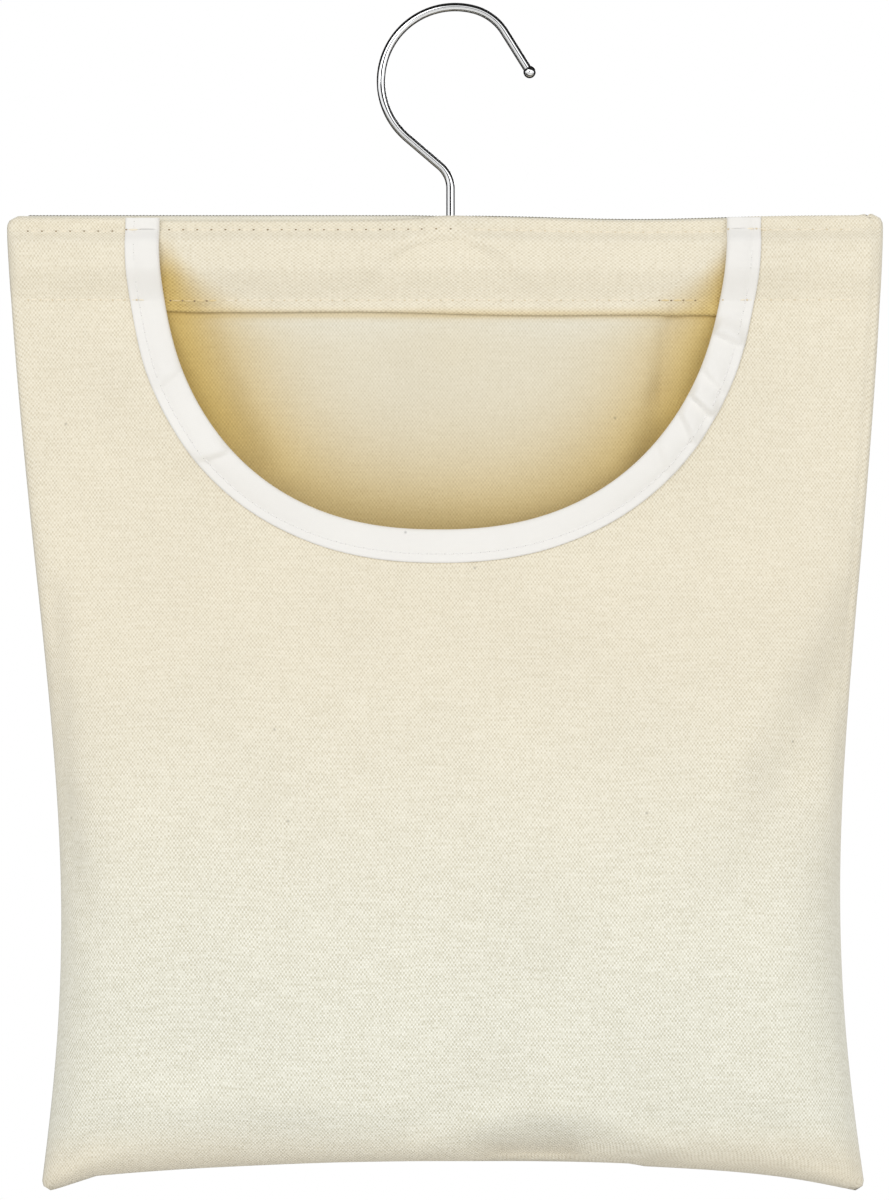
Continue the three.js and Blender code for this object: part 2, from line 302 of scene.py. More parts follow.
def flat_card(name, wide, deep, turn, place):
    sheet = bmesh.new()
    bmesh.ops.create_grid(sheet, x_segments=1, y_segments=1, size=0.5)
    bmesh.ops.scale(sheet, verts=sheet.verts, vec=(wide, deep, 1))
    bmesh.ops.rotate(sheet, verts=sheet.verts, matrix=Matrix.Rotation(turn, 3, "X"))
    bmesh.ops.translate(sheet, verts=sheet.verts, vec=place)
    return new_object(name, sheet, card_felt)


card = bmesh.new()
bmesh.ops.create_circle(card, cap_ends=True, segments=CARD_SIDES, radius=CARD_REACH)
back_wall = card.faces[:]
walls = bmesh.ops.extrude_edge_only(card, edges=card.edges[:])["geom"]
for rim in (g for g in walls if isinstance(g, bmesh.types.BMVert)):
    rim.co.z = wall_length(rim.co.x / CARD_REACH, rim.co.y / CARD_REACH)
bmesh.ops.inset_region(card, faces=back_wall, thickness=CARD_REACH - CARD_HOLE)
bmesh.ops.delete(card, geom=back_wall, context="FACES")
bmesh.ops.rotate(card, verts=card.verts, matrix=Matrix.Rotation(UPRIGHT, 3, "X"))
bmesh.ops.translate(card, verts=card.verts, vec=(0, CARD_BACK, 0))
round_card = new_object("dark_card_round_the_set", card, card_felt)
front_card = flat_card("dark_card_by_the_lens", LENS_CARD_WIDE, LENS_CARD_HIGH, UPRIGHT,
                       (0, -camera_distance, LENS_CARD_RISE))
low_flag = flat_card("dark_flag_under_the_bag", FLAG_WIDE, FLAG_DEEP, 0, (0, 0, -FLAG_DROP))
for dark in (round_card, front_card, low_flag):
    dark.visible_camera = False
    dark.visible_diffuse = dark is low_flag
    dark.visible_glossy = dark is not low_flag
    dark.visible_shadow = False
    dark.visible_transmission = False

# %% [markdown]
# ## Woven cloth
#
# Canvas is a plain weave: each thread goes over one and under the next, which makes a tiny chequer of
# thread crowns. The product of two sines is such a chequer, at the real thread spacing. Long thin noise
# along each direction makes the slubs. The pattern is laid out by lengths along the cloth, so that it
# bends and hangs with the piece.

# %% The weave
CLOTH_MAP = "cloth"
DRIFT_THREADS = 10
DRIFT = 1.4
SLUB_THREADS = 18
SLUB_SCALE = 0.9
WEAVE_LEVEL = 0.5


def weave_height(tree, across_mm, down_mm, chequer=0.5, grit=0.8, slub=0.55, end=0.15):
    """A height of about 0 to 1 for a plain weave on the cloth's map, with threads this far apart.

    chequer is the share of the thread crowns, and grit how much one crown differs from the next. slub
    and end are the shares of threads that are thicker for a stretch, across and down.
    """
    flat = add_node(tree, "UVMap", uv_map=CLOTH_MAP).outputs[0]
    spacing = (1 / (across_mm * MM), 1 / (down_mm * MM), 1)
    threads = add_node(tree, "Mapping", {"Vector": flat, "Scale": spacing}).outputs[0]
    wander = {"Vector": threads, "Scale": 1 / DRIFT_THREADS, "Detail": 4.0}
    drift = add_node(tree, "TexNoise", wander).outputs[1]
    centred = vectors(tree, "SUBTRACT", drift, (0.5, 0.5, 0.5))
    laid = vectors(tree, "MULTIPLY_ADD", centred, (DRIFT, DRIFT, 0), threads)
    turned = vectors(tree, "MULTIPLY", laid, (math.pi, math.pi, math.pi))
    warp, weft, _ = add_node(tree, "SeparateXYZ", {0: turned}).outputs
    crowns = maths(tree, "MULTIPLY", maths(tree, "SINE", warp), maths(tree, "SINE", weft))
    crossing = vectors(tree, "FLOOR", laid)
    chance = add_node(tree, "TexWhiteNoise", {"Vector": crossing}, noise_dimensions="2D")
    stand = ranged(tree, chance.outputs["Value"], 0, 1, chequer * (1 - grit), chequer * (1 + grit))
    height = maths(tree, "MULTIPLY_ADD", crowns, stand, WEAVE_LEVEL - (slub + end) / 2)
    for amount, run in ((slub, (1 / SLUB_THREADS, 1, 1)), (end, (1, 1 / SLUB_THREADS, 1))):
        stretched = add_node(tree, "Mapping", {"Vector": laid, "Scale": run}).outputs[0]
        uneven = cloudy(tree, stretched, SLUB_SCALE, 1.0)
        height = maths(tree, "MULTIPLY_ADD", uneven, amount, height)
    return flat, height


# %% [markdown]
# Colour follows the weave: crowns are lighter than the hollows between them, partly the threads' own tone
# and partly painted shade. Both change over the bag. On the outside the cloth turns paler and cooler low
# down, and warm again just above the bottom seam, where the warm tone is painted shade. Inside the pouch
# and on the casing strip, golden painted shade lies where the front and the edge of the mouth shade the
# cloth, and it is pale where light comes in. A few flecks and faint blotches keep it from looking printed.

# %% Dyed cloth and painted shade
# The stored share of painted light, which paints the mouth's shade into the colour of the cloth.
PAINTED_LIGHT = "painted_light"
FLECK_SPACING = 110 * MM
FLECK = 0.8 * MM
FLECK_SHADE = 0.6
BLOTCH = 55 * MM
BLOTCH_SHADE = 0.965
RELIEF = 0.6
# Distances down the outside: warm down to the first, paler by the second, and from the third warm again by
# the last, where the warm tone is painted shade along the bottom seam.
WARM_TO = 150
PALE_FROM = 330
PALE_TO = 356
WARM_FROM = 384


def woven(name, thread_mm, first, last, relief_mm, rough, sheen, by_height=False, **pattern):
    """A cloth with a low relief, whose colours turn from a first pair to a last pair.

    They turn by height on the outside, or else by the stored share of painted light, which paints the
    mouth's shade.
    """
    material, tree = new_material(name)
    flat, height = weave_height(tree, *thread_mm, **pattern)
    if by_height:
        up = add_node(tree, "SeparateXYZ", {0: flat}).outputs[1]
        paling, away_from_seam = (
            ranged(tree, up, -start * MM, -end * MM, interpolation_type="SMOOTHSTEP")
            for start, end in ((WARM_TO, PALE_FROM), (WARM_FROM, PALE_TO))
        )
        change = maths(tree, "MULTIPLY", paling, away_from_seam)
    else:
        # Painted shade: the colour turns with a share of light stored on the cloth, not with the lamps.
        change = add_node(tree, "Attribute", attribute_name=PAINTED_LIGHT).outputs["Fac"]
    crown, hollow = (mixed(tree, change, *shades) for shades in zip(first, last))
    shaded_colour = mixed(tree, height, hollow, crown)
    seed = add_node(tree, "TexVoronoi", {"Vector": flat, "Scale": 1 / FLECK_SPACING},
                    voronoi_dimensions="2D")
    fleck = ranged(tree, seed.outputs["Distance"], 0, FLECK / FLECK_SPACING, FLECK_SHADE, 1)
    wash = ranged(tree, cloudy(tree, flat, 1 / BLOTCH, 3.0), *NOISE_SPAN, BLOTCH_SHADE, 1)
    marked_shaded_colour = vectors(tree, "MULTIPLY", shaded_colour, maths(tree, "MULTIPLY", wash, fleck))
    bump = {"Height": height, "Strength": RELIEF, "Distance": relief_mm * MM}
    relief = add_node(tree, "Bump", bump)
    coat(tree, marked_shaded_colour, rough, {
        "Specular IOR Level": 0.2,
        "Sheen Weight": sheen,
        "Sheen Roughness": 0.6,
        "Normal": relief.outputs[0],
    })
    print(name, "has threads", thread_mm, "mm apart")
    return material


CANVAS_THREADS = (0.685, 0.915)
TAPE_THREADS = (0.45, 0.45)
CANVAS_FINISH = {"relief_mm": 0.2, "rough": 0.92, "sheen": 0.12}
# Each pair is the colour of the thread crowns and of the hollows between them, whose darker colour is
# partly painted shade.
WARM = ("#F7F0DD", "#DDD3BB")
COOL_PALE = ("#FFFEF2", "#D3CFBA")
HALF_PALE = ("#FDF9EA", "#D7D0B9")
GOLDEN_SHADE = ("#DFC57D", "#C0A25E")
LIT = ("#F3EFE2", "#D6D0BB")
WHITE = ("#F4F2EE", "#ECEAE5")

# Natural cotton canvas, loom state: matt and cream, with uneven weft threads that show as level streaks.
# It turns paler and cooler low down, and warm again along the bottom seam, where the warm tone is painted
# shade.
canvas = woven("natural_cotton_canvas", CANVAS_THREADS, WARM, COOL_PALE, **CANVAS_FINISH, by_height=True)
# The back turns less pale low down.
back_canvas = woven("cotton_canvas_less_pale_low", CANVAS_THREADS, WARM, HALF_PALE, **CANVAS_FINISH,
                    by_height=True)
# Inside, the same canvas is painted golden where the front and the edge of the mouth shade it, and is pale
# where light comes in through the mouth.
inside_canvas_painted_shade = woven("canvas_inside_with_painted_shade", CANVAS_THREADS, GOLDEN_SHADE, LIT, **CANVAS_FINISH,
                      chequer=0.25, slub=0.3, end=0.15)
# The casing strip is the same canvas cut across the grain, so its weft ribs stand upright. It is painted
# golden where the tape and the front shade it.
casing_canvas = woven("canvas_across_the_grain_painted_shade", CANVAS_THREADS[::-1], GOLDEN_SHADE, WARM, **CANVAS_FINISH,
                      chequer=0.45, slub=0.2, end=0.4)
# White cotton bias tape: finer and smoother than canvas, with a faint lustre.
cotton_tape = woven("white_cotton_tape", TAPE_THREADS, WHITE, WHITE, relief_mm=0.05, rough=0.75, sheen=0.2,
                    chequer=0.12, slub=0.2, end=0.15)

# %% [markdown]
# ## Thread, wire, wood and washer
#
# Sewing thread is cotton, and its shade changes a little along a row. The hook is bright plated wire,
# whose drawing marks only blur its reflections a little. The bar is sanded wood with a long grain, and
# the washer is dull zinc-plated steel. These two hide in the sleeve.

# %% Small materials
FIBRE = 0.5 * MM
HOLE_SHADING = 6 * MM
EDGE_SHADING = 25 * MM
GRAIN_A_METRE = (12, 450, 450)


def object_place(tree):
    return add_node(tree, "TexCoord").outputs["Object"]


def metal(name, colour, rough_low, rough_high, mark):
    """A metal whose gloss varies a little with the marks that its making left."""
    material, tree = new_material(name)
    marks = cloudy(tree, object_place(tree), 1 / mark, 4.0)
    gloss = ranged(tree, marks, *NOISE_SPAN, rough_low, rough_high)
    coat(tree, linear(colour), gloss, {"Metallic": 1.0})
    return material


def sewing_thread(name, dark, light, spacing):
    """Cotton whose colour goes between two shades at about this spacing."""
    material, tree = new_material(name)
    fibre = cloudy(tree, object_place(tree), 1 / spacing, 3.0)
    coat(tree, mixed(tree, fibre, dark, light), 0.85, {"Sheen Weight": 0.2})
    return material


chrome_wire = metal("bright_plated_wire", "#F1F2F3", 0.03, 0.08, 1.5 * MM)
zinc_washer = metal("zinc_plated_washer", "#B9BBBD", 0.3, 0.45, 0.6 * MM)

thread = sewing_thread("cream_sewing_thread", "#E9DDC2", "#F8F1E1", FIBRE)
# Painted shade: golden thread for the stretches of a row that the mouth shades.
golden_shade_thread = sewing_thread("thread_with_painted_golden_shade", "#DAC28A", "#ECD9AB", FIBRE)
white_thread = sewing_thread("white_sewing_thread", "#E4E2DE", "#F6F5F2", FIBRE)
# Painted shade: beads coloured like the shade inside a needle hole.
needle_hole = sewing_thread("shade_in_a_needle_hole", "#5A4A36", "#B79E78", HOLE_SHADING)
pale_hole = sewing_thread("shade_in_a_pale_needle_hole", "#CDBB97", "#E9DDC4", HOLE_SHADING)
tape_hole = sewing_thread("shade_in_a_tape_needle_hole", "#B9B6B1", "#DAD8D4", HOLE_SHADING)
# Painted shadow: a dark olive thread for the row along the top edge of the back.
edge_shadow_thread = sewing_thread("olive_thread_painting_edge_shadow", "#33332A", "#A69F88", EDGE_SHADING)

wood, tree = new_material("sanded_softwood")
along = add_node(tree, "Mapping", {"Vector": object_place(tree), "Scale": GRAIN_A_METRE})
grain = cloudy(tree, along.outputs[0], 1.0, 6.0)
fibre = add_node(tree, "Bump", {"Height": grain, "Strength": 0.3, "Distance": 0.1 * MM})
coat(tree, mixed(tree, grain, "#B98F5C", "#E2C69A"), 0.65, {"Normal": fibre.outputs[0]})

for node, finish in (("hanger_bar", wood), ("hook_washer", zinc_washer)):
    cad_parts[node].data.materials.clear()
    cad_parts[node].data.materials.append(finish)
    print(node, "is finished as", finish.name)

# %% [markdown]
# ## How the pouch hangs
#
# Two panels of canvas are sewn together at the sides and the bottom. A full pouch swells, and because
# cloth hardly stretches, the swelling draws the side seams in at the waist and lifts the bottom seam
# between its corners, which hang on as ears. The functions from here on give the inside face of a panel,
# in millimetres, by the place across and the distance below the top edge. They keep to the outline of
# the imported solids, with a flatter swell that is fuller low down, and let the bag hang as soft cloth
# does: it leans to one side, its ears differ, and its top edge dips.

# %% The outline
CANVAS = 1.0
TOP_HALF = 343 / 2 - CANVAS
BOTTOM_HALF = 322 / 2 - CANVAS
CORNER_RADIUS = 4.0
EAR_RADIUS = 3.0
WAIST = 12.0
BELLY_FULLEST = 0.66
BELLY_SKEW = math.log(0.5) / math.log(BELLY_FULLEST)
TOP_LEAN = -2.2
BOTTOM_LEAN = 1.0
MOUTH_HALF = 111.0
MOUTH_DEPTH = 123.0
MOUTH_POWER = 2.3
MOUTH_TOP_LEAN = -0.6
MOUTH_LOW_LEAN = -3.4

back_low, back_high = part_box("back_panel")
TOP_EDGE = back_high.z / MM
DEEP = (back_high.z - back_low.z) / MM - CANVAS


def mouth_lean(down):
    return lerp(MOUTH_TOP_LEAN, MOUTH_LOW_LEAN, clamp(down / MOUTH_DEPTH))


def mouth_share(across, down, grow=0.0):
    """Less than 1 inside the scoop of the mouth, grown by a distance, and 1 on its edge."""
    aside = abs(across - mouth_lean(down)) / (MOUTH_HALF + grow)
    below = max(down, 0) / (MOUTH_DEPTH + grow)
    return (aside**MOUTH_POWER + below**MOUTH_POWER) ** (1 / MOUTH_POWER)


def swell(down, start):
    """The share of the belly at a distance down: nothing at its start and at the bottom seam."""
    share = clamp((down - start) / (DEEP - start))
    return max(math.sin(math.pi * share**BELLY_SKEW), 0.0)


def half_width(down):
    width = lerp(TOP_HALF, BOTTOM_HALF, down / DEEP) - WAIST * swell(down, 0)
    for radius, distance in ((CORNER_RADIUS, down), (EAR_RADIUS, DEEP - down)):
        short = radius - min(distance, radius)
        width -= radius - math.sqrt(radius**2 - short**2)
    return width


def lean(down):
    return lerp(TOP_LEAN, BOTTOM_LEAN, down / DEEP)


print("the pouch hangs from", round(TOP_EDGE, 1), "mm to", round(TOP_EDGE - DEEP, 1), "mm")

# %% [markdown]
# Along the top the cloth goes over the bar: out from the top seam, straight down past the bar, and back
# in to the row of stitches below it. Round the hook's shank the layers part.

# %% The sleeve
LAYER_GAP = 0.15
SEAM_TURN = 5.0
TOP_SEAM = 5.0
SLOPE_END = 11.5
SLEEVE_END = 20.5
CASING_ROW = 33.0
BAR_ROOM = 4.8
FALL_SOFTNESS = 0.35
SHANK_ROOM = 2.0
SHANK_FADE = 11.0


def seam_round(distance):
    """Quarter round from a seam to the full depth of the panel."""
    short = 1 - clamp(distance / SEAM_TURN)
    return math.sqrt(1 - short**2)


def over_bar(down):
    """How far the cloth stands off the middle of the bar."""
    rise = rising(down, TOP_SEAM, SLOPE_END - TOP_SEAM)
    below_bar = clamp((down - SLEEVE_END) / (CASING_ROW - SLEEVE_END))
    fall = lerp(below_bar, ease(below_bar), FALL_SOFTNESS)
    return LAYER_GAP + (BAR_ROOM - LAYER_GAP) * rise * (1 - fall)


def round_shank(across, down):
    """How far the layers part for the hook's shank, at the top seam."""
    fade = ease(1 - (abs(across) - SHANK_ROOM) / SHANK_FADE)
    return SHANK_ROOM * fade * ease((SLOPE_END - down) / TOP_SEAM)


# %% [markdown]
# The top edge sags a little, and the bottom seam rises between its ears, with one small tuck in it.

# %% The top and bottom edges
TOP_DIP = 1.5
DIP_MIDDLE = 75.0
DIP_WIDTH = 75.0
BOTTOM_RISE = 11.5
LEFT_EAR = 0.11
LEFT_EAR_RISE = 5.6
LEFT_SWEEP = 2.2
RIGHT_SWEEP = 3.1
PLEAT_AT = 69.0
PLEAT_STEP = 0.8
PLEAT_STEP_HIGH = 14.0
PLEAT_HOLLOW = 3.2
PLEAT_HOLLOW_HIGH = 9.0
PLEAT_SEAM = 2.0


def top_dip(across):
    """The top edge sags a little between the hook and the right shoulder."""
    return TOP_DIP * hump(across, DIP_MIDDLE, DIP_WIDTH)


def bottom_lift(share, down):
    """How far the belly lifts the cloth between its ears: the left ear is creased, the right one swept."""
    aside = abs(share)
    if share < 0:
        rest = 1 - min(aside / (1 - LEFT_EAR), 1) ** LEFT_SWEEP
        rise = LEFT_EAR_RISE * clamp((1 - aside) / LEFT_EAR) + (BOTTOM_RISE - LEFT_EAR_RISE) * rest
    else:
        rise = BOTTOM_RISE * (1 - aside**RIGHT_SWEEP)
    return rise * rising(down, DEEP / 2, DEEP / 2)


def pleat(across, down):
    """A small tuck in the bottom seam, right of the middle: a step down and a hollow beside it."""
    past = across - PLEAT_AT
    above = DEEP - down
    step = rising(past, 0, 6) * (1 - rising(past, 9, 60)) * (1 - rising(above, 0, PLEAT_STEP_HIGH))
    hollow = rising(past, 2, 5) * (1 - rising(past, 7, 22)) * (1 - rising(above, 0, PLEAT_HOLLOW_HIGH))
    hollow *= clamp(above / PLEAT_SEAM)
    return PLEAT_STEP * step, PLEAT_HOLLOW * hollow


# %% [markdown]
# ## Soft forms
#
# Slack cloth is never even. Broad and small noise make it limp, drag lines fan out of the bottom
# corners, and single folds lie where the photograph shows them. The edge of the mouth stands off the
# back, which opens the pouch.

# %% Folds
SLACK_DOWN = 70.0
SLACK_ASIDE = 25.0
BROAD_LIMP = 1.6
BROAD_WIDE = 55.0
BROAD_LONG = 90.0
SMALL_LIMP = 0.4
SMALL_WIDE = 21.0
SMALL_LONG = 30.0
EAR_REACH = 110.0
EAR_LINES = 7
EAR_FOLD = 1.1
EAR_PEAK = 22.0
EAR_FADE = 12.0
FOLD_REACH = 2.0
RIM_REACH = 60.0
ROW_STAND = 1.6
SIDE_STAND = 7.0
# Soft folds, each from one point (across, down) to another, with its height and its width.
FRONT_FOLDS = (
    ((158, 150), (146, 188), -3.6, 10),
    ((146, 188), (132, 221), -4.6, 16),
    ((132, 221), (118, 252), -4.6, 20),
    ((134, 164), (108, 214), 2.0, 12),
    ((-154, 148), (-152, 170), -2.6, 6),
    ((-150, 184), (-149, 226), -2.0, 5),
    ((-149, 226), (-145, 252), -3.0, 6),
    ((-142, 262), (-136, 278), -1.4, 9),
    ((-124, 350), (-66, 352), 2.2, 13),
    ((-58, 355), (-24, 357), 1.2, 11),
    ((-12, 374), (12, 362), 1.4, 8),
    ((12, 362), (40, 359), 1.4, 8),
    ((40, 359), (84, 371), 1.4, 8),
    ((18, 377), (44, 377), -8.0, 7),
    ((28, 369), (54, 370), -2.6, 11),
    ((96, 366), (136, 368), 1.2, 9),
    ((90, 352), (118, 346), 1.4, 14),
)
BACK_FOLDS = (
    ((-96, 40), (-78, 96), -2.2, 10),
    ((-84, 44), (-64, 100), 1.4, 10),
    ((88, 42), (84, 70), -3.0, 5),
    ((84, 70), (79, 104), -1.5, 7),
    ((79, 40), (74, 66), 2.0, 6),
    ((74, 66), (67, 100), 1.0, 8),
)


def limpness(across, down, room, side):
    """The soft unevenness of slack cloth, which fades out towards the sewn sleeve and the side seams."""
    slack = rising(down, CASING_ROW, SLACK_DOWN) * rising(room, 0, SLACK_ASIDE)
    broad = noise.noise(Vector((across / BROAD_WIDE, down / BROAD_LONG, 7.3 * side)))
    small = noise.noise(Vector((across / SMALL_WIDE, down / SMALL_LONG, 3.1 + 5.7 * side)))
    return slack * (BROAD_LIMP * broad + SMALL_LIMP * small)


def ear_folds(across, down, room):
    """Drag lines that fan out of the two bottom corners."""
    above = DEEP - down
    if above > EAR_REACH:
        return 0.0
    folds = 0.0
    for corner, phase in ((-1, 0.4), (1, 1.7)):
        aside = BOTTOM_HALF - corner * across
        reach = math.hypot(aside, above) / EAR_PEAK
        fan = math.sin(EAR_LINES * math.atan2(above, aside + 1) + phase)
        folds += EAR_FOLD * fan * reach * math.exp(1 - reach)
    return folds * rising(room, 0, EAR_FADE) * rising(above, 0, EAR_FADE)


def fold_height(folds, across, down):
    """The height of all the folds at a point: each is a soft ridge or valley round its line."""
    height = 0.0
    for (x0, y0), (x1, y1), rise, width in folds:
        reach = FOLD_REACH * width
        if not min(y0, y1) - reach < down < max(y0, y1) + reach:
            continue
        run_x, run_y = x1 - x0, y1 - y0
        share = clamp(((across - x0) * run_x + (down - y0) * run_y) / (run_x**2 + run_y**2))
        away = math.hypot(across - x0 - share * run_x, down - y0 - share * run_y)
        height += rise * hump(away, 0, 1.5 * width)
    return height


def rim_stand(across, down):
    """How far the mouth's edge stands off the back, more at the sides than where it is sewn down."""
    if down > MOUTH_DEPTH + RIM_REACH:
        return 0.0
    from_edge = (mouth_share(across, down) - 1) * math.hypot(across, down)
    over_row = ROW_STAND * hump(down, 19, 15)
    side = SIDE_STAND * rising(down, CASING_ROW + 3, 25) * (1 - rising(down, 85, 40))
    return (over_row + side) * hump(from_edge, 0, RIM_REACH)


print(len(FRONT_FOLDS), "folds in front and", len(BACK_FOLDS), "behind")

# %% [markdown]
# One function puts it all together. Across the bag the belly is nearly flat and falls off close to the
# side seams. Down the bag it starts slowly and ends full.

# %% The hung form
FRONT_BELLY = 34.0
BACK_BELLY = 30.0
CROWN_POWER = 11.0
CROWN_EDGE_POWER = 0.6
BELLY_TOP_POWER = 2.1
BELLY_LOW_POWER = 0.35
FRONT_LAYER = 2.2
DIP_FADE = 16.0
SEAM_GROOVE = 0.7
SEAM_GROOVE_IN = 3.0
SEAM_GROOVE_WIDTH = 1.4


def panel_inside(share, down, side):
    """The inside face of the back (side 1) or front (side -1) panel, in mm from the frame's origin.

    share goes from -1 to 1 between the side seams.
    """
    half = half_width(down)
    across = share * half
    room = (1 - abs(share)) * half
    seams = seam_round(room) * seam_round(DEEP - down)
    crown = (1 - abs(share) ** CROWN_POWER) ** CROWN_EDGE_POWER
    fullness = lerp(BELLY_TOP_POWER, BELLY_LOW_POWER, ease(down / DEEP))
    belly = BACK_BELLY if side > 0 else FRONT_BELLY
    layer = 0 if side > 0 else FRONT_LAYER
    depth = LAYER_GAP + seams * (over_bar(down) + layer - LAYER_GAP)
    depth += belly * crown * swell(down, CASING_ROW) ** fullness
    depth += limpness(across, down, room, side) + ear_folds(across, down, room)
    if side > 0:
        depth -= fold_height(BACK_FOLDS, across, down)
        depth = max(depth, LAYER_GAP + round_shank(across, down))
    else:
        depth += fold_height(FRONT_FOLDS, across, down) * seams + rim_stand(across, down)
        if share > 0:
            depth -= SEAM_GROOVE * hump(room, SEAM_GROOVE_IN, SEAM_GROOVE_WIDTH)
    step, hollow = pleat(across, down)
    drop = down + top_dip(across) * (1 - ease(down / DIP_FADE)) - bottom_lift(share, down) + step
    if side < 0:
        depth -= hollow
    return Vector((across + lean(down), side * depth, TOP_EDGE - drop))


lowest = min(panel_inside(share, DEEP, -1).z for share in (-1, 0, 1))
print("the lowest ear is", round(TOP_EDGE - lowest, 1), "mm below the top edge")

# %% [markdown]
# ## Flat cloth
#
# Each piece of cloth starts as a flat grid, whose points are moved to their places on the hung form. A
# panel's map is measured along the hung cloth, so that the weave isn't drawn out where the form turns. A
# Solidify modifier gives the sheet its thickness. Each point also stores its share of painted light,
# which paints the shade of the mouth into the colour of the cloth.

# %% Flat cloth, threads and thickness
PANEL_COLUMNS = 120
PANEL_ROWS = 150
PAINTED_LIGHT_SHIFT = 2.5
SHADE_TOP = 3.0
SHADE_LOW = 42.0
LEAST_LIGHT = 0.16
HEM_SHADE = 0.5


def painted_light(across, down):
    """Painted light: 1 well inside the open mouth, falling to 0 where its sides and the front shade it,
    and lower in a painted shadow under the hem.
    """
    across -= PAINTED_LIGHT_SHIFT
    aside = across - mouth_lean(down)
    inside = (1 - mouth_share(across, down)) * math.hypot(aside, down)
    reach = lerp(SHADE_TOP, SHADE_LOW, rising(down, 4, 52))
    least_light = LEAST_LIGHT * rising(down, 75, 40)
    hem_shadow = HEM_SHADE * hump(down, CASING_ROW + 5.5, 3)
    lit_share = lerp(least_light, 1, ease(inside / reach)) * (1 - hem_shadow)
    return lerp(1, lit_share, rising(down, 6, 20))


def map_cloth(cut, places):
    """Writes the cloth's map from a place in mm for each point."""
    cloth_map = cut.loops.layers.uv[CLOTH_MAP]
    cut.verts.index_update()
    for face in cut.faces:
        for corner in face.loops:
            corner[cloth_map].uv = places[corner.vert.index] * MM


def flat_cloth(columns, rows, flat_place):
    """A flat grid, its points at flat_place(across 0 to 1, down 0 to 1) in mm, with that as its map."""
    cut = bmesh.new()
    cut.loops.layers.uv.new(CLOTH_MAP)
    painted_light_layer = cut.verts.layers.float.new(PAINTED_LIGHT)
    bmesh.ops.create_grid(cut, x_segments=columns, y_segments=rows, size=0.5)
    for point in cut.verts:
        across, down = flat_place(point.co.x + 0.5, 0.5 - point.co.y)
        point.co = (across, -down, 0)
        # Painted light: each point keeps the share of light that its colour is painted with.
        point[painted_light_layer] = painted_light(across, down)
    map_cloth(cut, [point.co.xy for point in cut.verts])
    return cut


def lay_threads(cut, placed):
    """Maps a panel by lengths along the hung cloth, from the middle of its top edge."""
    hung = [placed(point.co.x, -point.co.y) for point in cut.verts]
    wide = PANEL_COLUMNS + 1
    place = [Vector((0, 0)) for _ in hung]
    for row in range(PANEL_ROWS, -1, -1):
        first = row * wide
        middle = first + PANEL_COLUMNS // 2
        for step, stop in ((1, first + wide), (-1, first - 1)):
            for i in range(middle + step, stop, step):
                place[i].x = place[i - step].x + step * (hung[i] - hung[i - step]).length
        if row < PANEL_ROWS:
            for i in range(first, first + wide):
                place[i].y = place[i + wide].y - (hung[i] - hung[i + wide]).length
    map_cloth(cut, place)
    print("the cloth is", round(-min(spot.y for spot in place), 1), "mm long along its hang")


def hang(cut, placed):
    """Moves each point of a flat cut from (across, -down) to its hung place, and mm become metres."""
    for point in cut.verts:
        point.co = placed(point.co.x, -point.co.y) * MM


def thicken(piece, thickness, offset, inner_material=0):
    """Live thickness for a sheet: offset 1 puts it all on the outside, 0 half on each side."""
    wall = piece.modifiers.new("cloth_thickness", "SOLIDIFY")
    wall.thickness = thickness * MM
    wall.offset = offset
    wall.material_offset = inner_material
    return piece


# %% [markdown]
# ## The two panels
#
# Rows lie closer in the sleeve and at the bottom seam, where the form turns quickly. The scoop of the
# mouth is cut out of the front while it is flat, and the cut edge is eased onto the true curve.

# %% Cut the panels
ROW_KNOTS = ((0.0, 0.0), (0.2, 42.0), (0.93, 365.0), (1.0, DEEP))
EDGE_GATHER = 0.35
TAPE = 0.6
EDGE_ROOM = TAPE + 0.3
FRONT_TUCK = 1.0
TUCK_DOWN = 20.0
TUCK_ASIDE = 40.0


def row_down(share):
    """The distance below the top edge of a row, by its share of all the rows."""
    for (start, low), (end, high) in zip(ROW_KNOTS, ROW_KNOTS[1:]):
        if share <= end:
            return lerp(low, high, (share - start) / (end - start))
    return DEEP


def column_share(place):
    """The place of a column from -1 to 1. Columns gather towards the side seams."""
    return place * (1 + EDGE_GATHER * (1 - place * place))


def panel_cut(across, down):
    below = row_down(down)
    return column_share(2 * across - 1) * half_width(below), below


def place_back(across, down):
    return panel_inside(clamp(across / half_width(down), -1.0), down, 1)


def place_front(across, down):
    """The front panel's own top edge is folded in a little below the back's, on the left."""
    tuck = FRONT_TUCK * (1 - rising(down, 0, TUCK_DOWN)) * rising(-across, 0, TUCK_ASIDE)
    return panel_inside(clamp(across / half_width(down), -1.0), down, -1) - Vector((0, 0, tuck))


back_cut = flat_cloth(PANEL_COLUMNS, PANEL_ROWS, panel_cut)
lay_threads(back_cut, place_back)
hang(back_cut, place_back)
bmesh.ops.reverse_faces(back_cut, faces=back_cut.faces)
back_panel = thicken(new_object("back_panel_cloth", back_cut, back_canvas, inside_canvas_painted_shade), CANVAS, 1, 1)

front_cut = flat_cloth(PANEL_COLUMNS, PANEL_ROWS, panel_cut)
lay_threads(front_cut, place_front)
scooped = [face for face in front_cut.faces
           if all(mouth_share(v.co.x, -v.co.y, EDGE_ROOM) < 1 for v in face.verts)]
bmesh.ops.delete(front_cut, geom=scooped, context="FACES")
for point in front_cut.verts:
    share = mouth_share(point.co.x, -point.co.y, EDGE_ROOM)
    if share < 1:
        middle = mouth_lean(-point.co.y)
        point.co = ((point.co.x - middle) / share + middle, point.co.y / share, 0)
hang(front_cut, place_front)
front_panel = thicken(new_object("front_panel_cloth", front_cut, canvas, inside_canvas_painted_shade), CANVAS, 1, 1)

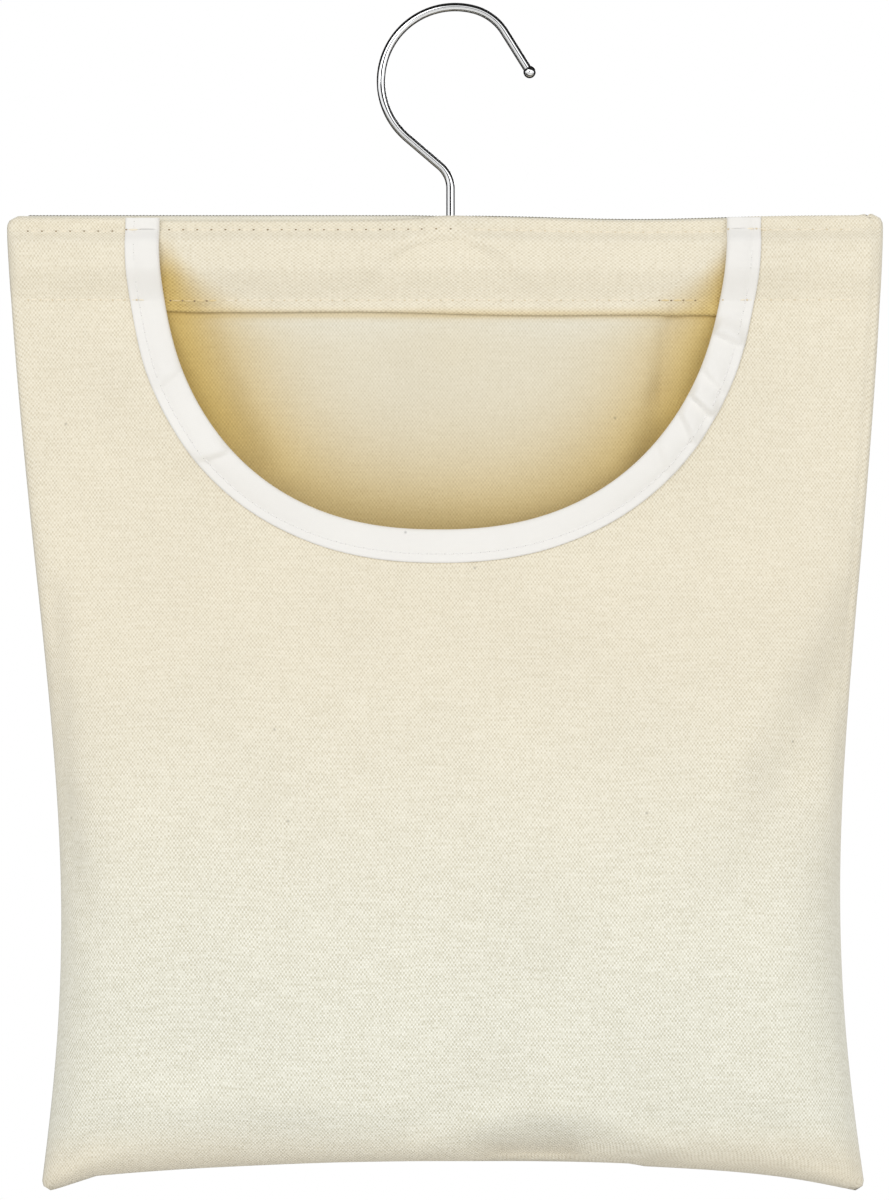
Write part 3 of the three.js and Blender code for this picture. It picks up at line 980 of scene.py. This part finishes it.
# %% [markdown]
# ## The casing strip
#
# A strip of canvas across the inside of the back panel closes the sleeve that holds the bar. Its top
# edge is caught in the top seam a little below the back panel's own edge, and its lower edge is folded
# and sewn down. Under the hook it is pushed out like a small tent.

# %% Casing strip
CASING_COLUMNS = 130
CASING_ROWS = 34
CASING_SIDE = 5.3
# How far down its edges are, on the left and on the right.
CASING_TOP = (2.1, 0.6)
CASING_LOW = (37.0, 39.4)
HEM_WAVE = 0.35
HEM_STAND = 0.15
TENT_RISE = 3.2
TENT_TOP = 6.3
TENT_HALF = 20.0
TENT_FALL = 7.0
TENT_WIDTH = 45.0
TENT_FADE = 4.0
RIPPLE = 0.25


def casing_flat(across, down):
    share = 2 * across - 1
    top = lerp(*CASING_TOP, ease(share * 6 + 0.8))
    low = lerp(*CASING_LOW, ease(across)) + HEM_WAVE * math.sin(9 * share)
    below = lerp(top, low, down)
    return share * (half_width(below) - CASING_SIDE), below


def place_casing(across, down):
    """In front of the bar, round the hook's shank, and down onto the back panel."""
    back = panel_inside(across / half_width(down), down, 1)
    front = over_bar(down) + round_shank(across, down)
    tent_edge = TENT_TOP + TENT_FALL * (across / TENT_HALF) ** 2
    tent = TENT_RISE * hump(across, 0, TENT_WIDTH)
    tent *= (1 - rising(down, tent_edge, TENT_FADE)) * rising(down, 0, TENT_FADE)
    ripple = RIPPLE * noise.noise(Vector((across / 14, down / 16, 2.2))) * rising(down, 4, 6)
    depth = front + tent + ripple
    if down > CASING_ROW:
        hem = HEM_STAND * rising(down, CASING_ROW, 3)
        depth = lerp(depth, LAYER_GAP - back.y, rising(down, CASING_ROW, 2)) + hem
    return Vector((back.x, -depth, back.z))


casing_cut = flat_cloth(CASING_COLUMNS, CASING_ROWS, casing_flat)
hang(casing_cut, place_casing)
casing_strip = thicken(new_object("casing_strip_cloth", casing_cut, casing_canvas), CANVAS, 1)

# %% [markdown]
# ## The edge of the mouth
#
# The binding and its stitches follow the cut edge of the mouth, so its points and the length up to each
# are worked out once. Whatever lies on a cloth is placed by its distance off that cloth, square to it.

# %% Along the mouth
ROUTE_STEPS = 720
NEAR = 0.4


def mouth_point(turn):
    """A point of the mouth's edge as (across, down), from the left end at pi to the right end at 0."""
    power = 2 / MOUTH_POWER
    aside = math.copysign(abs(math.cos(turn)) ** power, math.cos(turn)) * MOUTH_HALF
    down = MOUTH_DEPTH * max(math.sin(turn), 0.0) ** power
    return Vector((aside + mouth_lean(down), down))


mouth_edge = [mouth_point(math.pi * (1 - i / ROUTE_STEPS)) for i in range(ROUTE_STEPS + 1)]
mouth_run = [0.0]
for here, after in zip(mouth_edge, mouth_edge[1:]):
    mouth_run.append(mouth_run[-1] + (after - here).length)
MOUTH_LENGTH = mouth_run[-1]
print("the mouth's edge is", round(MOUTH_LENGTH, 1), "mm long")


def along_mouth(run):
    """The point at a distance along the mouth's edge, and the direction square to it, into the cloth."""
    run = min(max(run, 0.0), MOUTH_LENGTH)
    low, high = 0, ROUTE_STEPS
    while high - low > 1:
        middle = (low + high) // 2
        low, high = (middle, high) if mouth_run[middle] <= run else (low, middle)
    share = (run - mouth_run[low]) / (mouth_run[high] - mouth_run[low])
    forward = (mouth_edge[high] - mouth_edge[low]).normalized()
    return mouth_edge[low].lerp(mouth_edge[high], share), Vector((-forward.y, forward.x))


def stand_off(placed, across, down, out, facing):
    """A point at a distance off a placed cloth, and the way out of it: facing is -1 in front, 1 behind."""
    here = placed(across, down)
    aside = placed(across + NEAR, down) - here
    below = placed(across, down + NEAR) - here
    way = below.cross(aside).normalized()
    if way.y * facing < 0:
        way = -way
    return here + way * out, way


def front_face(across, down, out):
    return stand_off(place_front, across, down, out, -1)


# %% [markdown]
# ## The binding
#
# White tape is folded in half over the cut edge of the mouth and sewn through both halves. Across the
# tape, a point is placed by its distance from the fold: a quarter circle to each side of the cut edge,
# and then flat along the panel inside and outside. The sewing pulls a shallow groove, the tape puffs up
# between the groove and the fold, and where it is eased round the curve, it lies in creases.

# %% Mouth binding
TAPE_WIDTH = 13.0
TAPE_LONG_STEPS = 600
TAPE_ACROSS_STEPS = 30
FOLD_RADIUS = CANVAS / 2 + TAPE / 2 + LAYER_GAP
FOLD_QUARTER = FOLD_RADIUS * math.pi / 2
TAPE_HALF = TAPE_WIDTH - FOLD_RADIUS + FOLD_QUARTER
STITCH_IN = 3.4
PUFF = 0.55
GROOVE = 0.3
GROOVE_WIDTH = 2.2
PUCKER = 0.16
CREASE_RISE = 9.0
# Each crease: its place along the tape, slant, height, steep side and the length of that side.
TAPE_CREASES = (
    (331, 0.12, 3.2, -1, 1.5),
    (318, 0.56, 1.5, -1, 2.4),
    (306, 0.26, 3.2, -1, 1.9),
    (298, 0.56, 2.0, -1, 2.0),
    (284, 0.5, 0.8, -1, 2.8),
    (97, 0.4, 1.6, 1, 2.6),
    (60, -0.3, 1.0, 1, 2.8),
)


def tape_relief(run, from_fold):
    """How far the tape stands off the cloth: a puff, the groove of the stitches, and creases."""
    sewn = TAPE_WIDTH - STITCH_IN
    puff = PUFF * math.sin(math.pi * clamp(from_fold / sewn))
    groove = GROOVE * hump(from_fold, sewn, GROOVE_WIDTH)
    pucker = PUCKER * noise.noise(Vector((run / 4.5, from_fold / 9, 1.0))) * ease(from_fold / 4)
    crease = 0.0
    for place, slant, height, steep, fall in TAPE_CREASES:
        ridge = steep * (run + slant * from_fold - place)
        crease += height * ease(1 + ridge / CREASE_RISE) * (1 - ease(ridge / fall))
    crease *= rising(from_fold, 0, 2.5) * rising(TAPE_WIDTH - from_fold, 0, 3.5)
    return puff - groove + pucker + crease


def tape_flat(along, across):
    return along * MOUTH_LENGTH, lerp(TAPE_HALF, -TAPE_HALF, across)


def place_tape(run, from_fold):
    """from_fold is along the tape's own width: positive outside the bag, negative inside."""
    edge, into = along_mouth(run)
    near = abs(from_fold)
    side = math.copysign(1, from_fold)
    if near < FOLD_QUARTER:
        turn = near / FOLD_RADIUS
        inward = FOLD_RADIUS * (1 - math.cos(turn))
        stand = FOLD_RADIUS * math.sin(turn)
    else:
        inward = FOLD_RADIUS + near - FOLD_QUARTER
        stand = FOLD_RADIUS
    if side > 0:
        stand += tape_relief(run, inward) * ease(near / FOLD_QUARTER)
    spot = edge + into * inward
    return front_face(spot.x, max(spot.y, 0.0), CANVAS / 2 + side * stand)[0]


tape_cut = flat_cloth(TAPE_LONG_STEPS, TAPE_ACROSS_STEPS, tape_flat)
hang(tape_cut, place_tape)
bmesh.ops.recalc_face_normals(tape_cut, faces=tape_cut.faces)
mouth_binding = thicken(new_object("mouth_binding_tape", tape_cut, cotton_tape), TAPE, 0)

# %% [markdown]
# ## Stitching
#
# A lockstitch shows as a row of short threads, each of which dives into a needle hole at both ends. One
# stitch is a small round bead, drawn out along the row and flattened into the cloth, and the shade in each
# hole is painted on a darker bead. A row is a function that gives the place on the cloth at a distance
# along it.

# %% One row of stitches
THREAD = 0.7
BEAD_SIDES = 6
BEAD_RINGS = 5
LONGEST_STITCH = 1.2
HOLE_SHAPE = Vector((1, 0.8, 0.6))

bead_mesh = bpy.data.meshes.new("one_bead")
sewn_rows = []


def add_bead(row, place, size, material):
    """One bead, made by itself and then joined to its row, which is quicker than in a long row."""
    bead = bmesh.new()
    bmesh.ops.create_uvsphere(bead, u_segments=BEAD_SIDES, v_segments=BEAD_RINGS, radius=1,
                              matrix=place @ Matrix.Diagonal((*size, 1)))
    for face in bead.faces:
        face.material_index = material
    bead.to_mesh(bead_mesh)
    bead.free()
    row.from_mesh(bead_mesh)


def sew(name, route, start, end, pitch, gap, hole, finish):
    """Stitches from start to end along route(distance), which gives a point and the way out of it."""
    row = bmesh.new()
    for i in range(int((end - start) / pitch)):
        first = start + i * pitch
        here, out = route(first)
        there, _ = route(first + pitch - gap)
        along = there - here
        if along.length > LONGEST_STITCH * (pitch - gap):
            continue
        side = out.cross(along).normalized()
        turned = Matrix((along.normalized(), side, out)).transposed().to_4x4()
        stitch = Matrix.Translation((here + there) / 2 * MM) @ turned
        add_bead(row, stitch, Vector((along.length, THREAD, THREAD)) / 2 * MM, 0)
        dot = Matrix.Translation(route(first - gap / 2)[0] * MM) @ turned
        add_bead(row, dot, HOLE_SHAPE * hole * MM, 1)
    sewn_rows.append(new_object(name, row, *finish))


# %% [markdown]
# Two level rows close the sleeve. Seen from the front, a row goes over the shoulder, the tape and the
# casing strip, and its thread is painted golden where the mouth shades it.

# %% The two rows of the sleeve
TOP_ROW_DOWN = 6.0
TOP_ROW_PITCH = 5.5
LOW_ROW_PITCH = 4.7
ROW_GAP = 1.0
ROW_SIDE = 8.0
STITCH_SINK = 0.05
OVER_TAPE = 0.2
HOLE = 0.5
# Stretches of the rows with painted shade: dark holes on the left of the top row, golden thread on the
# casing row.
SHADED_TOP = 12.0
SHADED_LEFT = (-107.0, -86.0)
SHADED_RIGHT = (84.0, 104.0)


def back_face(across, down, out):
    return stand_off(place_back, across, down, out, 1)


def seen_from_front(down):
    """The front-most cloth along a level row: the shoulder, the tape or the casing strip."""
    def route(across):
        if mouth_share(across, down, TAPE_WIDTH) >= 1:
            return front_face(across, down, CANVAS - STITCH_SINK)
        if mouth_share(across, down) >= 1:
            return front_face(across, down, CANVAS + TAPE + OVER_TAPE)
        return stand_off(place_casing, across, down, CANVAS - STITCH_SINK, -1)
    return route


def seen_from_behind(down):
    def route(across):
        return back_face(across, down, CANVAS - STITCH_SINK)
    return route


row_reach = half_width(TOP_ROW_DOWN) - ROW_SIDE
plain = (thread, pale_hole)
pricked = (thread, needle_hole)
shaded = (golden_shade_thread, needle_hole)
top_ends = (-row_reach, SHADED_TOP, row_reach)
casing_ends = (-row_reach, *SHADED_LEFT, *SHADED_RIGHT, row_reach)
for title, down, pitch, ends, finishes in (
    ("top", TOP_ROW_DOWN, TOP_ROW_PITCH, top_ends, (pricked, plain)),
    ("casing", CASING_ROW, LOW_ROW_PITCH, casing_ends, (plain, shaded, plain, shaded, plain)),
):
    for number, (start, end, finish) in enumerate(zip(ends, ends[1:], finishes)):
        sew(f"{title}_row_{number}", seen_from_front(down), start, end, pitch, ROW_GAP, HOLE, finish)
    sew(f"{title}_row_behind", seen_from_behind(down), -row_reach, row_reach, pitch, ROW_GAP, HOLE, plain)

# %% [markdown]
# The raw top edge of the back panel has a row of dark olive stitches, which paints the shadow of that
# edge, and the binding has a fine white row.

# %% A painted edge shadow and the row of the binding
EDGE_PITCH = 1.3
EDGE_GAP = 0.3
EDGE_SIDE = 4.0
EDGE_LIFT = 0.1
BINDING_PITCH = 3.3
BINDING_GAP = 0.7
BINDING_START = 2.0
BINDING_REST = 4.0
FINE_HOLE = 0.3


def edge_route(across):
    """Along the raw top edge of the back panel, where a dark row paints the shadow of that edge."""
    return back_face(across, 0, CANVAS / 2)[0] + Vector((0, 0, EDGE_LIFT)), Vector((0, 0, 1))


def binding_route(run):
    point = place_tape(run, TAPE_HALF - STITCH_IN)
    edge, into = along_mouth(run)
    spot = edge + into * (TAPE_WIDTH - STITCH_IN)
    way = front_face(spot.x, max(spot.y, 0.0), 0)[1]
    return point + way * (TAPE / 2 - STITCH_SINK), way


edge_reach = half_width(0) - EDGE_SIDE
sew("dark_row_painting_edge_shadow", edge_route, -edge_reach, edge_reach, EDGE_PITCH, EDGE_GAP, FINE_HOLE,
    (edge_shadow_thread, edge_shadow_thread))
sew("binding_row", binding_route, BINDING_START, MOUTH_LENGTH - BINDING_REST, BINDING_PITCH, BINDING_GAP,
    FINE_HOLE, (white_thread, tape_hole))
bpy.data.meshes.remove(bead_mesh)

# %% [markdown]
# ## The hook
#
# The hook is one length of wire, so it is made as a wire is bent: a circle is drawn straight up out of
# the bar, and each bend is a spin about the centre of its arc. A ball on the tip keeps it from
# scratching, and the rivet head under the bar is a short cylinder with a rounded lower rim.

# %% Bend the wire
WIRE = 3.4
WIRE_SIDES = 24
HOOK_RADIUS = 29.0
HOOK_OFFSET = 1.8
NOSE_RADIUS = 20.0
NOSE_START = math.radians(75)
NOSE_END = math.radians(32)
TAIL = 18.5
TIP_BALL = 5.0
NECK_SLOPE = math.radians(40.5)
NECK_BEND = 11.7
RIVET_HEAD = 5.4
RIVET_HEIGHT = 2.0
RIVET_ROUND = 0.7 * RIVET_HEIGHT
FOOT_RING = 0.5
DEGREES_A_STEP = math.radians(2.5)

hook_low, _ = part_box("hook")
hook_centre = Vector((HOOK_OFFSET, 0, WIRE / 2 - HOOK_RADIUS))
arc_end = 1.5 * math.pi - NECK_SLOPE
neck_top = hook_centre + HOOK_RADIUS * Vector((math.cos(arc_end), 0, math.sin(arc_end)))
neck_foot = neck_top.z + neck_top.x * math.tan(NECK_SLOPE)
bend_foot = neck_foot - NECK_BEND * math.tan((math.pi / 2 - NECK_SLOPE) / 2)
rivet_top = hook_low.z / MM + RIVET_HEIGHT
nose_way = Vector((math.cos(NOSE_START), 0, math.sin(NOSE_START)))
nose_centre = hook_centre + (HOOK_RADIUS - NOSE_RADIUS) * nose_way

wire = bmesh.new()
bmesh.ops.create_circle(wire, cap_ends=True, segments=WIRE_SIDES, radius=WIRE / 2,
                        matrix=Matrix.Translation((0, 0, rivet_top)))
tip = wire.edges[:]


def draw_on(edges, way):
    """Draws the wire's end on in a straight line and returns its new end."""
    drawn = bmesh.ops.extrude_edge_only(wire, edges=edges)["geom"]
    bmesh.ops.translate(wire, verts=[g for g in drawn if isinstance(g, bmesh.types.BMVert)], vec=way)
    return [g for g in drawn if isinstance(g, bmesh.types.BMEdge)]


def bend(edges, centre, turn):
    """Bends the wire on about a centre, by a turn to the left as seen from the front."""
    steps = max(2, round(abs(turn) / DEGREES_A_STEP))
    spun = bmesh.ops.spin(wire, geom=edges, cent=centre, axis=(0, -1, 0), angle=turn, steps=steps)
    return [g for g in spun["geom_last"] if isinstance(g, bmesh.types.BMEdge)]


def end_centre(edges):
    points = {point for edge in edges for point in edge.verts}
    return sum((point.co for point in points), Vector()) / len(points)


tip = draw_on(tip, Vector((0, 0, FOOT_RING)))
tip = draw_on(tip, Vector((0, 0, bend_foot - rivet_top - FOOT_RING)))
tip = bend(tip, (-NECK_BEND, 0, bend_foot), math.pi / 2 - NECK_SLOPE)
tip = draw_on(tip, neck_top - end_centre(tip))
tip = bend(tip, hook_centre, NOSE_START - arc_end)
tip = bend(tip, nose_centre, NOSE_END - NOSE_START)
tail_way = Vector((math.sin(NOSE_END), 0, -math.cos(NOSE_END)))
tip = draw_on(tip, TAIL * tail_way)
tip_centre = end_centre(tip)
bmesh.ops.create_uvsphere(wire, u_segments=WIRE_SIDES, v_segments=WIRE_SIDES // 2, radius=TIP_BALL / 2,
                          matrix=Matrix.Translation(tip_centre))
head = bmesh.ops.create_cone(wire, cap_ends=True, segments=WIRE_SIDES, radius1=RIVET_HEAD / 2,
                             radius2=RIVET_HEAD / 2, depth=RIVET_HEIGHT,
                             matrix=Matrix.Translation((0, 0, rivet_top - RIVET_HEIGHT / 2)))
low_points = {point for point in head["verts"] if point.co.z < rivet_top - RIVET_HEIGHT / 2}
rim = [edge for edge in wire.edges if low_points.issuperset(edge.verts)]
bmesh.ops.bevel(wire, geom=rim, offset=RIVET_ROUND, offset_type="OFFSET", segments=4, profile=0.5,
                affect="EDGES", material=-1)
bmesh.ops.recalc_face_normals(wire, faces=wire.faces)
bmesh.ops.scale(wire, verts=wire.verts, vec=(MM, MM, MM))
hook = new_object("hook_wire", wire, chrome_wire)
print("the tip is at", [round(c, 1) for c in tip_centre], "mm")

# %% [markdown]
# ## Put the pieces on their bodies
#
# Every new piece says which body it moves with, which imported node it stands for, and which finish it
# has.

# %% Ride and replace
dressed = (
    (hook, "hook", "hook", "plated_steel"),
    (front_panel, "bag", "front_panel", "canvas"),
    (back_panel, "bag", "back_panel", "canvas"),
    (casing_strip, "bag", "casing_strip", "casing_canvas"),
    (mouth_binding, "bag", "mouth_binding", "cotton_tape"),
)
for piece, body, node, slot in dressed:
    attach(piece, body)
    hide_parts(node)
for row in sewn_rows:
    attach(row, "bag")

print(len(dressed) + len(sewn_rows), "new pieces ride on their bodies")
